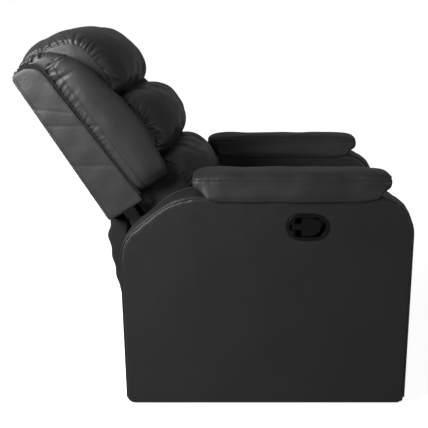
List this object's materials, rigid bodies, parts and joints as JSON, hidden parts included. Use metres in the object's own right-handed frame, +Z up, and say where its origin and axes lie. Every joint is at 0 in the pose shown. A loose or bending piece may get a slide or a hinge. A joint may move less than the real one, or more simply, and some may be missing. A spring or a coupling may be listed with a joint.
{
  "type": "pedicure recliner chair",
  "caption": "Black upholstered recliner armchair with stacked back pillows, padded arms, a fold-out footrest on a link mechanism and a pull handle set in an arm.",
  "frame": {"origin": "middle of the chair's footprint on the floor, at rest", "axes": "+X to the sitter's left, +Y from the front of the chair to its back, +Z up"},
  "size_m": [0.776, 1.0176, 0.982],
  "materials": {
    "black_leather": "smooth grained black upholstery leather with a soft sheen",
    "skirt_cloth": "plain woven black lining cloth",
    "strap_web": "elastic woven strap",
    "frame_wood": "bare sawn softwood",
    "release_plastic": "gloss black moulded plastic",
    "glide_plastic": "matt black plastic",
    "cable_casing": "black extruded cable casing",
    "link_steel": "black powder-coated pressed steel",
    "zinc_steel": "zinc-plated steel",
    "spring_steel": "dark spring wire"
  },
  "bodies": {
    "chair_base": {"right_arm_frame": "frame_wood", "left_arm_frame": "frame_wood", "right_arm_outer_panel": "black_leather", "left_arm_outer_panel": "black_leather", "right_arm_inner_panel": "black_leather", "left_arm_inner_panel": "black_leather", "right_arm_front_band": "black_leather", "left_arm_front_band": "black_leather", "right_arm_rear_band": "black_leather", "left_arm_rear_band": "black_leather", "right_arm_pad": "black_leather", "left_arm_pad": "black_leather", "glides": "glide_plastic", "base_front_rail": "frame_wood", "base_rear_rail": "frame_wood", "rear_skirt": "skirt_cloth", "right_mount_plate": "link_steel", "left_mount_plate": "link_steel", "mount_bolts": "zinc_steel", "plate_pivots": "zinc_steel", "back_pivots": "zinc_steel", "seat_tubes": "link_steel", "seat_box": "frame_wood", "seat_springs": "spring_steel", "seat_cushion": "black_leather", "handle_cup": "release_plastic", "paddle_pin": "zinc_steel", "release_cable": "cable_casing"},
    "backrest": {"back_frame": "frame_wood", "back_straps": "strap_web", "right_back_panel": "black_leather", "left_back_panel": "black_leather", "back_rear_panel": "black_leather", "right_wing": "black_leather", "left_wing": "black_leather", "head_pillow": "black_leather", "middle_pillow": "black_leather", "lumbar_pillow": "black_leather", "right_back_bracket": "link_steel", "left_back_bracket": "link_steel"},
    "paddle": {"release_paddle": "release_plastic"},
    "latch": {"latch_lever": "zinc_steel"},
    "rear_links": {"right_rear_link": "link_steel", "left_rear_link": "link_steel", "link_cross_tube": "link_steel", "rear_link_pins": "zinc_steel"},
    "front_links": {"right_front_link": "link_steel", "left_front_link": "link_steel", "front_link_pins": "zinc_steel"},
    "control_links": {"right_control_link": "link_steel", "left_control_link": "link_steel"},
    "tilt_links": {"right_tilt_link": "link_steel", "left_tilt_link": "link_steel"},
    "footrest": {"footrest_board": "frame_wood", "footrest_pad": "black_leather", "right_foot_bracket": "link_steel", "left_foot_bracket": "link_steel"}
  },
  "joints": [
    {"name": "backrest_recline", "type": "hinge", "parent": "chair_base", "child": "backrest", "pos_m": [0, 0.14926, 0.36032], "axis": [-1, 0, 0], "range_deg": [0, 26]},
    {"name": "footrest_extend", "type": "hinge", "parent": "chair_base", "child": "rear_links", "pos_m": [0, -0.288, 0.29], "axis": [-1, 0, 0], "range_deg": [0, 44.5]},
    {"name": "front_link_swing", "type": "hinge", "parent": "rear_links", "child": "front_links", "pos_m": [0, -0.37617, 0.07217], "axis": [1, 0, 0], "range_deg": [0, 89]},
    {"name": "footrest_turn", "type": "hinge", "parent": "front_links", "child": "footrest", "pos_m": [0, -0.408, 0.305], "axis": [-1, 0, 0], "range_deg": [0, 131.56]},
    {"name": "control_link_swing", "type": "hinge", "parent": "chair_base", "child": "control_links", "pos_m": [0, -0.265, 0.264], "axis": [-1, 0, 0], "range_deg": [0, 43.84]},
    {"name": "tilt_link_swing", "type": "hinge", "parent": "rear_links", "child": "tilt_links", "pos_m": [0, -0.36417, 0.10817], "axis": [1, 0, 0], "range_deg": [0, 88.61]},
    {"name": "paddle_pull", "type": "hinge", "parent": "chair_base", "child": "paddle", "pos_m": [-0.3805, -0.197, 0.493], "axis": [0, 0, -1], "range_deg": [0, 35], "stiffness_Nm_per_rad": 0.4, "springref_deg": -22.92},
    {"name": "latch_turn", "type": "hinge", "parent": "chair_base", "child": "latch", "pos_m": [-0.24, -0.236, 0.304], "axis": [-1, 0, 0], "range_deg": [0, 12], "stiffness_Nm_per_rad": 0.4, "springref_deg": -11.46}
  ],
  "couplings": [
    {"joint": "front_link_swing", "follows": "footrest_extend", "ratio": 2},
    {"joint": "footrest_turn", "follows": "footrest_extend", "ratio": 2.9565},
    {"joint": "control_link_swing", "follows": "footrest_extend", "ratio": 0.985},
    {"joint": "tilt_link_swing", "follows": "footrest_extend", "ratio": 1.991},
    {"joint": "latch_turn", "follows": "paddle_pull", "ratio": 0.342}
  ]
}
